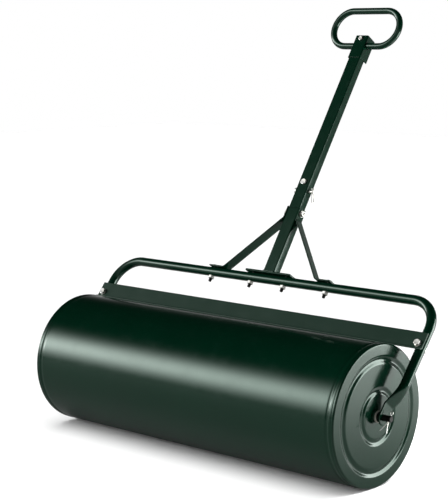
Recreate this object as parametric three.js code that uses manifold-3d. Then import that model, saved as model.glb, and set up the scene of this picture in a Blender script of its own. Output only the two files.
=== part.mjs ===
import * as THREE from 'three';
import { mergeVertices } from 'three/addons/utils/BufferGeometryUtils.js';
import Module from 'manifold-3d';

const wasm = await Module();
wasm.setup();

// Driving sizes, millimetres. X runs along the drum, Z is up, the handle leans towards +Y.
const DRUM_R = 152.5;
const DRUM_HALF = 446;
const SHELL_SIDES = 80;
const CAP_SIDES = 56;
const AXLE_HIGH = DRUM_R * Math.cos(Math.PI / SHELL_SIDES);
const AXLE_Y = -210.42;
const ARM_TILT = THREE.MathUtils.degToRad(39.2);
const BAR_TILT = THREE.MathUtils.degToRad(33.2);
const RING_TILT = THREE.MathUtils.degToRad(24.3);
const TUBE_R = 11;
const ARM_X = 477;
const CROSS_S = 279.8;
const BEND_R = 65;
const TAB = { x: 460.35, half: 2.15, width: 17 };
const AXLE = { r: 7, half: 481, pinX: 475 };
const SCRAPER = { low: 161, high: 200.5, half: 489, bolt: 173, boltX: 475 };
const BAR = { w: 33, d: 22.4, wall: 2, r: 2.5, foot: 15.6, split: 186, top: 664 };
const SLEEVE = { w: 28.4, d: 17.8, wall: 2.5, low: 120, high: 275 };
const PLATE_BOLT_X = 49.5;
const BRACE = { bolt: 175, top: 188, bend: 158, foot: 139, end: 184, t: 3, w: 25, footBolt: 173 };
const LOCK = { z: 235, r: 4, tip: 30, clipX: 24.5 };
const CLAMP_Z = 254;
const HEAD = { low: 602, high: 665, t: 2, back: 18, bolt: 655 };
const RING = { z: 640.8, y: -1.4, half: 97.4, high: 94, r: 8 };
const FILL = { r: 86.5, angle: THREE.MathUtils.degToRad(264.2) };
const GAP = 0.3;

const GREEN = { color: 0x0f2f22, roughness: 0.28, metalness: 0.0 };
const BLACK = { color: 0x15181a, roughness: 0.45, metalness: 0.6 };
const ZINC = { color: 0xc3c6c6, roughness: 0.3, metalness: 1.0 };
const NYLON = { color: 0xd8d5c8, roughness: 0.5, metalness: 0.0 };
const RUBBER = { color: 0x17181a, roughness: 0.8, metalness: 0.0 };
const PLASTIC = { color: 0x111312, roughness: 0.45, metalness: 0.0 };

const group = new THREE.Group();
group.name = 'lawn_roller';

const V = (x, y, z) => new THREE.Vector3(x, y, z);

function volume(pos, idx) {
  let total = 0;
  for (let i = 0; i < idx.length; i += 3) {
    const [a, b, c] = idx.slice(i, i + 3).map((k) => V(pos[3 * k], pos[3 * k + 1], pos[3 * k + 2]));
    total += a.dot(b.cross(c));
  }
  return total;
}

function shape(pos, idx) {
  const order = volume(pos, idx) < 0 ? idx.slice().reverse() : idx;
  const geo = new THREE.BufferGeometry();
  geo.setAttribute('position', new THREE.Float32BufferAttribute(pos, 3));
  geo.setIndex(order);
  return geo;
}

// Skin over a run of equal point rings: capped at both ends, or joined last to first.
function skin(rings, loop = false) {
  const n = rings[0].length;
  const pos = rings.flat().flatMap((p) => [p.x, p.y, p.z]);
  const idx = [];
  const spans = loop ? rings.length : rings.length - 1;
  for (let i = 0; i < spans; i += 1) {
    const a = i * n;
    const b = ((i + 1) % rings.length) * n;
    for (let j = 0; j < n; j += 1) {
      const k = (j + 1) % n;
      idx.push(a + j, b + j, b + k, a + j, b + k, a + k);
    }
  }
  if (!loop) {
    const e = (rings.length - 1) * n;
    for (let j = 1; j < n - 1; j += 1) idx.push(0, j, j + 1, e, e + j + 1, e + j);
  }
  return shape(pos, idx);
}

const circle = (x, r, n) => Array.from({ length: n }, (_, j) => {
  const a = ((j + 0.5) / n) * 2 * Math.PI;
  return V(x, r * Math.cos(a), r * Math.sin(a));
});

const hexagon = (x, across, n) => Array.from({ length: n }, (_, j) => {
  const a = (j / n) * 2 * Math.PI;
  const off = ((a + Math.PI / 6) % (Math.PI / 3)) - Math.PI / 6;
  const r = across / 2 / Math.cos(off);
  return V(x, r * Math.cos(a), r * Math.sin(a));
});

// Turned solid about X from [x, r] points: a closed section, or a capped solid run.
const turned = (points, n, closed = true) => skin(points.map(([x, r]) => circle(x, r, n)), closed);

const rod = (r, x0, x1, n = 24) => turned([[x0, r], [x1, r]], n, false);

function toManifold(geo) {
  const g = mergeVertices(geo.clone(), 1e-5);
  return new wasm.Manifold(new wasm.Mesh({
    numProp: 3,
    vertProperties: Float32Array.from(g.attributes.position.array),
    triVerts: Uint32Array.from(g.index.array),
  }));
}

function fromManifold(solid) {
  const mesh = solid.getMesh();
  const pos = [];
  for (let i = 0; i < mesh.vertProperties.length; i += mesh.numProp) {
    pos.push(mesh.vertProperties[i], mesh.vertProperties[i + 1], mesh.vertProperties[i + 2]);
  }
  return shape(pos, Array.from(mesh.triVerts));
}

function cut(geo, tools) {
  let solid = toManifold(geo);
  for (const tool of tools) solid = solid.subtract(toManifold(tool));
  return fromManifold(solid);
}

const alongY = (geo) => geo.rotateZ(Math.PI / 2);
const alongZ = (geo) => geo.rotateY(-Math.PI / 2);

// Rounds the inner corners of a flat run of [u, v] points.
function rounded(points, radius, steps) {
  const out = [points[0]];
  for (let i = 1; i < points.length - 1; i += 1) {
    const p = new THREE.Vector2(...points[i]);
    const a = new THREE.Vector2(...points[i - 1]).sub(p).normalize();
    const b = new THREE.Vector2(...points[i + 1]).sub(p).normalize();
    const half = Math.acos(THREE.MathUtils.clamp(a.dot(b), -1, 1)) / 2;
    const centre = a.clone().add(b).normalize().multiplyScalar(radius / Math.sin(half)).add(p);
    const from = a.multiplyScalar(radius / Math.tan(half)).add(p).sub(centre);
    const to = b.multiplyScalar(radius / Math.tan(half)).add(p).sub(centre);
    const turn = Math.atan2(from.x * to.y - from.y * to.x, from.dot(to));
    for (let k = 0; k <= steps; k += 1) {
      const q = from.clone().rotateAround(new THREE.Vector2(), (turn * k) / steps).add(centre);
      out.push([q.x, q.y]);
    }
  }
  out.push(points[points.length - 1]);
  return out;
}

// Bent sheet strip: the run lies in XZ, the strip's width runs along Y.
function strip(points, t, y0, y1) {
  const rings = points.map((p, i) => {
    const a = new THREE.Vector2(...(points[i - 1] ?? p));
    const b = new THREE.Vector2(...(points[i + 1] ?? p));
    const here = new THREE.Vector2(...p);
    const d0 = here.clone().sub(a);
    const d1 = b.clone().sub(here);
    const dir = d0.lengthSq() === 0 ? d1.normalize() : d1.lengthSq() === 0 ? d0.normalize()
      : d0.normalize().add(d1.clone().normalize()).normalize();
    const step = (points[i + 1] ? d1 : d0).clone().normalize();
    const grow = t / 2 / Math.max(0.5, Math.abs(dir.dot(step)));
    const [ux, uz] = [-dir.y * grow, dir.x * grow];
    return [V(p[0] - ux, y0, p[1] - uz), V(p[0] + ux, y0, p[1] + uz),
      V(p[0] + ux, y1, p[1] + uz), V(p[0] - ux, y1, p[1] - uz)];
  });
  return skin(rings);
}

// Round wire through 3-D points.
function wire(points, r, n) {
  let normal = null;
  const rings = points.map((p, i) => {
    const t = (points[i + 1] ?? p).clone().sub(points[i - 1] ?? p).normalize();
    if (!normal) normal = Math.abs(t.x) < 0.7 ? V(1, 0, 0) : V(0, 1, 0);
    normal.addScaledVector(t, -normal.dot(t)).normalize();
    const side = t.clone().cross(normal);
    return Array.from({ length: n }, (_, j) => {
      const a = (j / n) * 2 * Math.PI;
      return p.clone().addScaledVector(normal, r * Math.cos(a)).addScaledVector(side, r * Math.sin(a));
    });
  });
  return skin(rings);
}

const roundRect = (w, d, r, z) => [[1, 1], [-1, 1], [-1, -1], [1, -1]].flatMap(([sx, sy], q) =>
  [0, 1, 2, 3].map((k) => {
    const a = (q + k / 3) * (Math.PI / 2);
    return V(sx * (w / 2 - r) + r * Math.cos(a), sy * (d / 2 - r) + r * Math.sin(a), z);
  }));

function boxTube({ w, d, wall, r }, z0, z1) {
  const [iw, id, ir] = [w - 2 * wall, d - 2 * wall, Math.max(0.4, r - wall)];
  return skin([roundRect(w, d, r, z0), roundRect(w, d, r, z1),
    roundRect(iw, id, ir, z1), roundRect(iw, id, ir, z0)], true);
}

// Hex bolt along X: head from 0 outwards, shank back to -length.
const bolt = (d, length, across, head, n = 12) => skin([circle(-length, d * 0.4, n),
  circle(-length + d * 0.12, d / 2, n), circle(0, d / 2, n), hexagon(0, across, n),
  hexagon(head * 0.8, across, n), circle(head, across * 0.44, n)]);

// Round-headed bolt along X: low dome from 0 outwards, shank back to -length.
const domeBolt = (d, length, head, high, n = 16) => skin([circle(-length, d * 0.4, n),
  circle(-length + d * 0.12, d / 2, n), circle(0, d / 2, n), circle(0, head, n),
  circle(high * 0.3, head, n), circle(high * 0.75, head * 0.76, n), circle(high, head * 0.35, n)]);

const nut = (d, across, high, n = 12) => skin([circle(0, d / 2 + 0.15, n), hexagon(0, across, n),
  hexagon(high * 0.85, across, n), circle(high, across * 0.44, n), circle(high, d / 2 + 0.15, n)], true);

const washer = (inner, outer, t, n = 18) => turned([[0, inner], [0, outer], [t, outer], [t, inner]], n);

function add(name, geo, finish) {
  const g = mergeVertices(geo, 1e-5);
  g.translate(0, AXLE_Y, AXLE_HIGH);
  g.computeVertexNormals();
  const mesh = new THREE.Mesh(g, new THREE.MeshStandardMaterial(finish));
  mesh.name = name;
  group.add(mesh);
}

const onArm = (geo) => geo.rotateX(-ARM_TILT);
const cross = V(0, CROSS_S * Math.sin(ARM_TILT), CROSS_S * Math.cos(ARM_TILT));
const onBar = (geo) => geo.rotateX(-BAR_TILT).translate(cross.x, cross.y, cross.z);
const mirrored = (geo) => {
  const g = geo.clone().scale(-1, 1, 1);
  return shape(Array.from(g.attributes.position.array), Array.from(g.index.array));
};

// ---- drum ----
function drumShell() {
  const half = [[0, 152], [424, 152], [427, 151.2], [431, 151.2], [434, 152.5], [440, 152.4]];
  const outer = half.slice(1).map(([x, r]) => [-x, r]).reverse().concat(half.slice(1));
  return turned([...outer, [440, 150.2], [-440, 150.2]], SHELL_SIDES);
}

function capSection() {
  return [[440.3, 152.3], [443.6, 151.4], [445.5, 149.2], [DRUM_HALF, 146.5], [DRUM_HALF, 130],
    [445, 125.8], [442.7, 121], [442.1, 119], [442.7, 117], [445, 112.2], [DRUM_HALF, 108],
    [DRUM_HALF, 64.4], [445.1, 60.6], [443, 56.4], [442.6, 54.6], [443, 52.8], [445.1, 48.6],
    [DRUM_HALF, 44.8], [DRUM_HALF, 12.6], [444, 12.6], [444, 44], [443, 48], [441, 52.4], [440.6, 54.6],
    [441, 56.8], [443, 61.2], [444, 65.2], [444, 107.2], [443, 111.4], [440.9, 116.2], [440.5, 119],
    [440.9, 121.8], [443, 126.6], [444, 130.8], [443.6, 146], [440.3, 150]];
}

const fillPoint = [FILL.r * Math.sin(FILL.angle), FILL.r * Math.cos(FILL.angle)];
const atFill = (geo) => geo.translate(0, fillPoint[0], fillPoint[1]);

function drum() {
  add('drum_shell', drumShell(), GREEN);
  add('end_cap_right', turned(capSection(), CAP_SIDES), GREEN);
  const leftCap = turned(capSection().map(([x, r]) => [-x, r]), CAP_SIDES);
  add('end_cap_left', cut(leftCap, [atFill(rod(15.6, -450, -430))]), GREEN);
  add('axle_tube', turned([[-446.2, 10], [-446.2, 12], [446.2, 12], [446.2, 10]], 32), GREEN);
  const bush = turned([[418, 7.3], [418, 9.7], [446.5, 9.7], [446.5, 13], [449.2, 13], [449.2, 7.3]], 24);
  add('hub_bush_right', bush, NYLON);
  add('hub_bush_left', mirrored(bush), NYLON);
  const boss = turned([[-446.3, 15.6], [-446.3, 21], [-449, 20.2], [-450, 19], [-450, 15.6]], 24);
  add('filler_boss', atFill(boss), GREEN);
  const seal = turned([[-450.3, 15.6], [-450.3, 18.8], [-451.8, 18.8], [-451.8, 15.6]], 24);
  add('filler_seal', atFill(seal), RUBBER);
  const plug = skin([circle(-432, 13.6, 24), circle(-434, 15, 24), circle(-452.1, 15, 24),
    circle(-452.1, 19, 24), circle(-454.2, 19, 24), hexagon(-454.2, 24, 24),
    hexagon(-459.4, 24, 24), circle(-460.4, 10.6, 24)]);
  add('filler_plug', atFill(plug), PLASTIC);
}

// ---- bow, axle and scraper ----
function bowRing({ x, z, rx = 1, rz = 0, a, b, m }, n) {
  const soft = (c) => Math.sign(c) * Math.abs(c) ** (2 / m);
  return Array.from({ length: n }, (_, j) => {
    const t = ((j + 0.5) / n) * 2 * Math.PI;
    const [u, v] = [a * soft(Math.cos(t)), b * soft(Math.sin(t))];
    return V(x + u * rx, v, z + u * rz);
  });
}

function bowSkin(low, r, steps, n) {
  const right = low.slice();
  for (let k = 0; k <= steps; k += 1) {
    const t = (k / steps) * (Math.PI / 2);
    const [c, s] = [Math.cos(t), Math.sin(t)];
    right.push({
      x: ARM_X - BEND_R + BEND_R * c, z: CROSS_S - BEND_R + BEND_R * s, rx: c, rz: s, a: r, b: r, m: 2,
    });
  }
  const left = right.slice().reverse().map((p) => ({ ...p, x: -p.x, rx: -(p.rx ?? 1) }));
  const ring = (p) => bowRing(p, n);
  return skin([...right.map(ring), ...left.map(ring)]);
}

function bow() {
  const flat = (z, b) => ({ x: TAB.x, z, a: TAB.half, b, m: 6 });
  const tip = [-17, -16, -12.6, -7, 0].map((z) => flat(z, Math.max(1.5, Math.sqrt(TAB.width ** 2 - z * z))));
  const squash = [[38, 464.4, 2.9, 17, 5], [50, 468.9, 3.7, 17, 4], [62, 471.8, 5.9, 15.6, 3],
    [74, 474.4, 8.5, 13, 2.4], [86, ARM_X, TUBE_R, TUBE_R, 2]].map(([z, x, a, b, m]) => ({ x, z, a, b, m }));
  const body = bowSkin([...tip, flat(27, TAB.width), ...squash], TUBE_R, 8, 18);
  const hollow = bowSkin([{ x: 474.6, z: 76, a: 6, b: 9, m: 2 },
    { x: ARM_X, z: 88, a: TUBE_R - 1.6, b: TUBE_R - 1.6, m: 2 }], TUBE_R - 1.6, 5, 10);
  const holes = [hollow, rod(AXLE.r + GAP, -500, 500)];
  for (const x of [-1, 1]) {
    holes.push(alongY(rod(4.3, -20, 20, 16)).translate(x * SCRAPER.boltX, 0, SCRAPER.bolt));
    for (const at of [PLATE_BOLT_X, BRACE.footBolt]) {
      holes.push(alongZ(rod(4.3, -20, 20, 16)).rotateX(ARM_TILT - BAR_TILT).translate(x * at, 0, CROSS_S));
    }
  }
  add('bow_frame', onArm(cut(body, holes)), GREEN);
}

// Split pin: both legs pass the hole side by side, the eye stays above, the tips are spread.
function splitPin() {
  const pts = [V(8.5, 0, -33), V(3.6, 0, -18), V(1.3, 0, -9), V(1.3, 0, 8.4)];
  for (let k = 0; k <= 10; k += 1) {
    const a = -Math.PI / 4 + (k / 10) * Math.PI * 1.5;
    pts.push(V(3.6 * Math.cos(a), 0, 13.4 + 3.6 * Math.sin(a)));
  }
  pts.push(V(-1.3, 0, 8.4), V(-1.3, 0, -9), V(-4.6, 0, -17.5), V(-10.5, 0, -30));
  return wire(pts, 1.1, 8);
}

function axle() {
  const hole = (x) => alongZ(rod(2.8, -20, 20, 12)).translate(x, 0, 0);
  const ends = [[-AXLE.half, 6], [1 - AXLE.half, AXLE.r], [AXLE.half - 1, AXLE.r], [AXLE.half, 6]];
  const bar = turned(ends, 32, false);
  add('axle_rod', onArm(cut(bar, [hole(-AXLE.pinX), hole(AXLE.pinX)])), BLACK);
  const spacer = turned([[449.5, 7.3], [449.5, 11], [455.6, 11], [455.6, 7.3]], 24);
  const ring = turned([[455.9, 7.3], [455.9, 14], [457.9, 14], [457.9, 7.3]], 24);
  add('axle_spacer_right', spacer, BLACK);
  add('axle_spacer_left', mirrored(spacer), BLACK);
  add('axle_washer_right', ring, BLACK);
  add('axle_washer_left', mirrored(ring), BLACK);
  add('split_pin_right', onArm(splitPin().translate(AXLE.pinX, 0, 0)), ZINC);
  add('split_pin_left', onArm(mirrored(splitPin().translate(AXLE.pinX, 0, 0))), ZINC);
}

function scraper() {
  const y = TUBE_R + GAP + 1.5;
  const run = rounded([[SCRAPER.high, y], [SCRAPER.low + 1.5, y], [SCRAPER.low - 2, y + 6]], 3, 3);
  const plate = strip(run.map(([z, d]) => [-d, z]), 3, -SCRAPER.half, SCRAPER.half).rotateZ(Math.PI / 2);
  const holes = [-1, 1].map((s) => alongY(rod(4.3, 0, 30, 16)).rotateZ(Math.PI)
    .translate(s * SCRAPER.boltX, 0, SCRAPER.bolt));
  add('scraper_bar', onArm(cut(plate, holes)), GREEN);
  const face = -(y + 1.5 + GAP);
  for (const [side, s] of [['right', 1], ['left', -1]]) {
    const put = (geo) => onArm(geo.translate(s * SCRAPER.boltX, 0, SCRAPER.bolt));
    const disc = washer(4.3, 8, 1.6);
    add(`scraper_washer_${side}`, put(alongY(disc).translate(0, face - 1.6, 0)), ZINC);
    add(`scraper_bolt_${side}`, put(alongY(bolt(8, 40, 13, 5.3)).rotateZ(Math.PI)
      .translate(0, face - 1.6 - GAP, 0)), ZINC);
    add(`scraper_nut_${side}`, put(alongY(nut(8, 13, 6.5)).translate(0, TUBE_R + GAP, 0)), ZINC);
  }
}

// ---- drawbar ----
const barHole = (z, r, y0, y1) => alongY(rod(r, y0, y1, 16)).translate(0, 0, z);
const crossHole = (z, r, y = 0, n = 16) => rod(r, -40, 40, n).translate(0, y, z);

function footPlate() {
  const plate = skin([roundRect(136, 30, 4, TUBE_R + GAP), roundRect(136, 30, 4, TUBE_R + GAP + 4)]);
  const holes = [-1, 1].map((s) => alongZ(rod(4.3, 0, 40, 16)).translate(s * PLATE_BOLT_X, 0, 0));
  add('foot_plate', onBar(cut(plate, holes)), GREEN);
  for (const [side, s] of [['right', 1], ['left', -1]]) {
    for (const [part, at, top] of [['plate', PLATE_BOLT_X, 15.6], ['brace', BRACE.footBolt, 14.6]]) {
      const put = (geo) => onBar(alongZ(geo).translate(s * at, 0, 0));
      add(`${part}_bolt_${side}`, put(domeBolt(8, top + 26, 8.2, 3.4).translate(top, 0, 0)), BLACK);
      add(`${part}_nut_${side}`, put(nut(8, 13, 6.5).rotateY(Math.PI).translate(-TUBE_R - GAP, 0, 0)), ZINC);
    }
  }
}

function drawbar() {
  const lower = cut(boxTube(BAR, BAR.foot, BAR.split - 0.5), [crossHole(BRACE.bolt, 4.3)]);
  add('drawbar_lower', onBar(lower), GREEN);
  const upper = cut(boxTube(BAR, BAR.split + 0.5, BAR.top), [
    crossHole(LOCK.z, 4.3), barHole(CLAMP_Z, 4.3, -20, 20), barHole(HEAD.bolt, 3.3, -20, 20),
    crossHole(RING.z, RING.r + GAP, RING.y, 24)]);
  add('drawbar_upper', onBar(upper), GREEN);
  const sleeve = cut(boxTube({ ...SLEEVE, r: 1.5 }, SLEEVE.low, SLEEVE.high),
    [crossHole(BRACE.bolt, 4.3), crossHole(LOCK.z, 4.3), barHole(CLAMP_Z, 4.3, -20, 20)]);
  add('drawbar_sleeve', onBar(sleeve), GREEN);
  add('clamp_bolt', onBar(alongY(bolt(8, 33, 13, 5.3)).rotateZ(Math.PI)
    .translate(0, -BAR.d / 2 - GAP, CLAMP_Z)), ZINC);
  add('clamp_nut', onBar(alongY(nut(8, 13, 6.5)).translate(0, BAR.d / 2 + GAP, CLAMP_Z)), ZINC);
}

function braces() {
  const x = BAR.w / 2 + GAP + BRACE.t / 2;
  const z = TUBE_R + GAP + BRACE.t / 2;
  const run = rounded([[x, BRACE.top], [x, BRACE.bend], [BRACE.foot, z], [BRACE.end, z]], 8, 4);
  const hole = alongZ(rod(4.3, 0, 40, 16)).translate(BRACE.footBolt, 0, 0);
  const brace = cut(strip(run, BRACE.t, -BRACE.w / 2, BRACE.w / 2), [hole, crossHole(BRACE.bolt, 4.3)]);
  add('brace_right', onBar(brace.clone()), GREEN);
  add('brace_left', onBar(mirrored(brace)), GREEN);
  const out = x + BRACE.t / 2 + GAP;
  const disc = washer(4.3, 8, 1.6).translate(out, 0, BRACE.bolt);
  add('tie_washer_right', onBar(disc.clone()), ZINC);
  add('tie_washer_left', onBar(mirrored(disc)), ZINC);
  const seat = out + 1.6 + GAP;
  add('tie_bolt', onBar(mirrored(bolt(8, 2 * seat + 9.5, 13, 5.3).translate(seat, 0, BRACE.bolt))), ZINC);
  add('tie_nut', onBar(nut(8, 13, 6.5).translate(seat, 0, BRACE.bolt)), ZINC);
}

// ---- lock pin with its spring clip ----
function lockPin() {
  const pin = turned([[-25.5, 5], [-24.5, 7], [-20, 7], [-19, 6], [-17.2, 6], [-17.2, LOCK.r],
    [LOCK.tip - 1.5, LOCK.r], [LOCK.tip, 2.8]], 24, false);
  const hole = alongZ(rod(1.6, -10, 10, 12)).translate(LOCK.clipX, 0, 0);
  add('lock_pin', onBar(cut(pin, [hole]).rotateX(BAR_TILT).translate(0, 0, LOCK.z)), ZINC);
  const pts = [V(0, 0, 9), V(0, 0, -17)];
  for (let k = 1; k <= 10; k += 1) {
    const a = Math.PI * 0.05 + (k / 10) * Math.PI * 1.12;
    pts.push(V(0, 3.6 - 4.4 * Math.cos(a), -20.5 - 4.4 * Math.sin(a)));
  }
  pts.push(V(0, 6, -13), V(0, 6, -5), V(0, 6.6, 0), V(0, 6, 4.5), V(0, 7.4, 8));
  add('spring_clip', onBar(wire(pts, 1.2, 8).rotateX(BAR_TILT).translate(LOCK.clipX, 0, LOCK.z)), ZINC);
}

// ---- head bracket and ring handle ----
function headBracket() {
  const x = BAR.w / 2 + GAP + HEAD.t / 2;
  const y = BAR.d / 2 + GAP + HEAD.t / 2;
  const run = rounded([[-x, -HEAD.back], [-x, y], [x, y], [x, -HEAD.back]], 2.4, 3);
  const channel = strip(run, HEAD.t, HEAD.low, HEAD.high).rotateX(Math.PI / 2);
  const holes = [crossHole(RING.z, RING.r + GAP, RING.y, 24), barHole(HEAD.bolt, 3.3, -20, 0)];
  add('head_bracket', onBar(cut(channel, holes)), GREEN);
  add('head_bolt', onBar(alongY(bolt(6, 33, 10, 4)).rotateZ(Math.PI)
    .translate(0, -(y + HEAD.t / 2 + GAP), HEAD.bolt)), ZINC);
  add('head_nut', onBar(alongY(nut(6, 10, 5)).translate(0, BAR.d / 2 + GAP, HEAD.bolt)), ZINC);
}

function ringHandle() {
  const bendR = RING.high / 2;
  const rings = [];
  for (const side of [1, -1]) {
    for (let k = 0; k <= 14; k += 1) {
      const a = (-Math.PI / 2 + (k / 14) * Math.PI) + (side < 0 ? Math.PI : 0);
      const dir = V(Math.cos(a), 0, Math.sin(a));
      const centre = V(side * (RING.half - bendR), 0, bendR).addScaledVector(dir, bendR);
      rings.push(Array.from({ length: 16 }, (_, j) => {
        const t = (j / 16) * 2 * Math.PI;
        return centre.clone().addScaledVector(dir, RING.r * Math.cos(t)).add(V(0, RING.r * Math.sin(t), 0));
      }));
    }
  }
  const leaned = skin(rings, true).rotateX(BAR_TILT - RING_TILT);
  add('ring_handle', onBar(leaned.translate(0, RING.y, RING.z)), GREEN);
}

drum();
bow();
axle();
scraper();
footPlate();
drawbar();
braces();
lockPin();
headBracket();
ringHandle();

export default group;
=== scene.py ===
import math
import random

import bmesh
import bpy
from mathutils import Matrix, Vector


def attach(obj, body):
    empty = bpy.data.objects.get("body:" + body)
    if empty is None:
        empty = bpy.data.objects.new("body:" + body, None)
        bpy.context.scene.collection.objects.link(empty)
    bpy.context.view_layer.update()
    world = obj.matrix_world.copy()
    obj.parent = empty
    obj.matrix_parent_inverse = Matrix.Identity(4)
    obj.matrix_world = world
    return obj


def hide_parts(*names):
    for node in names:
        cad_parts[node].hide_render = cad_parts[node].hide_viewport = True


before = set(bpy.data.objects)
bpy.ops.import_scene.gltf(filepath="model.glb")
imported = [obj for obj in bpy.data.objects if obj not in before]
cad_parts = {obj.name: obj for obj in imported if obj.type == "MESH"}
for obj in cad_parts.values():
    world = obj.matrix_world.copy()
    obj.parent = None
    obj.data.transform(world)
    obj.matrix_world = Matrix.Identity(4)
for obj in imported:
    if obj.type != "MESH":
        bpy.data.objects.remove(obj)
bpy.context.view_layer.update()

random.seed(7)

# ---------------------------------------------------------------- sizes, in millimetres, as in the CAD
DRUM_R = 152.5
CAD_DRUM_SIDES = 80
AXLE_Y = -210.42
AXLE_HIGH = DRUM_R * math.cos(math.pi / CAD_DRUM_SIDES)
ARM_TILT = math.radians(39.2)
BAR_TILT = math.radians(33.2)
RING_TILT = math.radians(24.3)
TUBE_R = 11.0
ARM_X = 477.0
CROSS_S = 279.8
BEND_R = 65.0
TAB_X, TAB_HALF, TAB_WIDTH = 460.35, 2.15, 17.0
AXLE_R, AXLE_HALF, PIN_X = 7.0, 481.0, 475.0
SCR_LOW, SCR_HIGH, SCR_HALF, SCR_T, SCR_BOLT, SCR_BOLT_X = 161.0, 200.5, 489.0, 3, 173.0, 475.0
BAR_W, BAR_D, BAR_WALL, BAR_R = 33.0, 22.4, 2.0, 2.5
BAR_FOOT, BAR_SPLIT, BAR_TOP = 15.6, 186.0, 664.0
PLATE_BOLT_X, PLATE_SEAT, BRACE_SEAT = 49.5, 15.6, 14.6
BRACE_BOLT, BRACE_TOP, BRACE_BEND, BRACE_FOOT, BRACE_END = 175.0, 188.0, 158.0, 139.0, 184.0
BRACE_T, BRACE_W, BRACE_FOOT_BOLT = 3.0, 25.0, 173.0
LOCK_Z, LOCK_R, LOCK_TIP, CLIP_X = 235.0, 4.0, 30.0, 24.5
CLAMP_Z = 254.0
HEAD_LOW, HEAD_HIGH, HEAD_T, HEAD_BACK, HEAD_BOLT = 602.0, 665.0, 2.0, 18.0, 655.0
RING_Z, RING_Y, RING_HALF, RING_HIGH, RING_R = 640.8, -1.4, 97.4, 94.0, 8.0
FILL_R, FILL_ANGLE = 86.5, math.radians(264.2)
SHELL_R, CAP_EDGE, CAP_FACE, CAP_BACK, CAP_BORE = 152.0, 440.3, 446, 444, 12.6
OUTER_GROOVE, INNER_GROOVE = 119.0, 54.6
FILL_HOLE, FILL_BOSS, PLUG_ACROSS, PLUG_END = 15.6, 21.0, 24, -460.4
SPACER_IN, SPACER_OUT, WASHER_IN = 449.5, 455.6, 455.9
GAP = 0.3

# fasteners, in millimetres
M8_HOLE, M6_HOLE = 4.3, 3.3
M8_BOLT = {"d": 8, "across": 13, "head": 5.3}
M6_BOLT = {"d": 6, "across": 10, "head": 4, "pitch": 1.0, "thread": 12.0}
M8_DOME = {"d": 8, "head": 8.2, "high": 3.4}
M8_NUT, M6_NUT = (8, 13, 6.5), (6, 10, 5)
WASHER_T = 1.6
M8_WASHER = (M8_HOLE, 8, WASHER_T)

# paint, as scene-linear colour
PAINT_DEEP, PAINT_LIGHT = (0.0002, 0.0195, 0.0088), (0.0007, 0.0265, 0.0122)
PAINT_DUSTY, PAINT_WORN = (0.018, 0.046, 0.034), (0.012, 0.055, 0.036)
PAINT_TINT = (0.78, 1.0, 0.88, 1.0)
PAINT_SMOOTH, PAINT_SMEARED = 0.115, 0.175

AT_AXLE = Matrix.Translation((0, AXLE_Y, AXLE_HIGH))
ON_ARM = AT_AXLE @ Matrix.Rotation(-ARM_TILT, 4, "X")
CROSS = Vector((0, CROSS_S * math.sin(ARM_TILT), CROSS_S * math.cos(ARM_TILT)))
ON_BAR = AT_AXLE @ Matrix.Translation(CROSS) @ Matrix.Rotation(-BAR_TILT, 4, "X")
AT_FILL = AT_AXLE @ Matrix.Translation((0, FILL_R * math.sin(FILL_ANGLE), FILL_R * math.cos(FILL_ANGLE)))


def shift(x=0.0, y=0.0, z=0.0):
    return Matrix.Translation((x, y, z))


ALONG_Y = Matrix.Rotation(math.pi / 2, 4, "Z")
ALONG_Z = Matrix.Rotation(-math.pi / 2, 4, "Y")
FLIP_X = Matrix.Scale(-1, 4, (1, 0, 0))
TURN_Z = Matrix.Rotation(math.pi, 4, "Z")
TURN_Y = Matrix.Rotation(math.pi, 4, "Y")


# ---------------------------------------------------------------- node helpers
class Nodes:
    """A short hand for wiring a node tree."""

    def __init__(self, tree):
        self.tree = tree
        self.tree.nodes.clear()

    def add(self, kind, **values):
        node = self.tree.nodes.new(kind)
        for key, value in values.items():
            setattr(node, key, value)
        return node

    def link(self, a, b):
        self.tree.links.new(a, b)

    def put(self, socket, value):
        if hasattr(value, "is_linked"):
            self.link(value, socket)
        else:
            socket.default_value = value

    def math(self, op, a, b=None):
        node = self.add("ShaderNodeMath", operation=op)
        self.put(node.inputs[0], a)
        if b is not None:
            self.put(node.inputs[1], b)
        return node.outputs[0]

    def noise(self, coord, scale, detail=2.0, rough=0.5, stretch=None):
        if stretch:
            mapping = self.add("ShaderNodeMapping")
            mapping.inputs["Scale"].default_value = stretch
            self.link(coord, mapping.inputs["Vector"])
            coord = mapping.outputs[0]
        node = self.add("ShaderNodeTexNoise")
        self.link(coord, node.inputs["Vector"])
        node.inputs["Scale"].default_value = scale
        node.inputs["Detail"].default_value = detail
        node.inputs["Roughness"].default_value = rough
        return node.outputs["Fac"]

    def span(self, value, a, b, c, d):
        node = self.add("ShaderNodeMapRange")
        self.put(node.inputs["Value"], value)
        for key, number in zip(("From Min", "From Max", "To Min", "To Max"), (a, b, c, d)):
            node.inputs[key].default_value = number
        return node.outputs["Result"]

    def mix(self, fac, a, b):
        node = self.add("ShaderNodeMix", data_type="RGBA")
        self.put(node.inputs["Factor"], fac)
        for socket, value in ((node.inputs[6], a), (node.inputs[7], b)):
            self.put(socket, value if hasattr(value, "is_linked") else (*value, 1.0))
        return node.outputs[2]

    def bump(self, height, strength, distance, normal=None):
        node = self.add("ShaderNodeBump")
        node.inputs["Strength"].default_value = strength
        node.inputs["Distance"].default_value = distance
        self.link(height, node.inputs["Height"])
        if normal is not None:
            self.link(normal, node.inputs["Normal"])
        return node.outputs["Normal"]


def new_material(name):
    material = bpy.data.materials.new(name)
    material.use_nodes = True
    nodes = Nodes(material.node_tree)
    out = nodes.add("ShaderNodeOutputMaterial")
    shader = nodes.add("ShaderNodeBsdfPrincipled")
    nodes.link(shader.outputs[0], out.inputs["Surface"])
    coord = nodes.add("ShaderNodeTexCoord").outputs["Object"]
    return material, nodes, shader, coord


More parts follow.
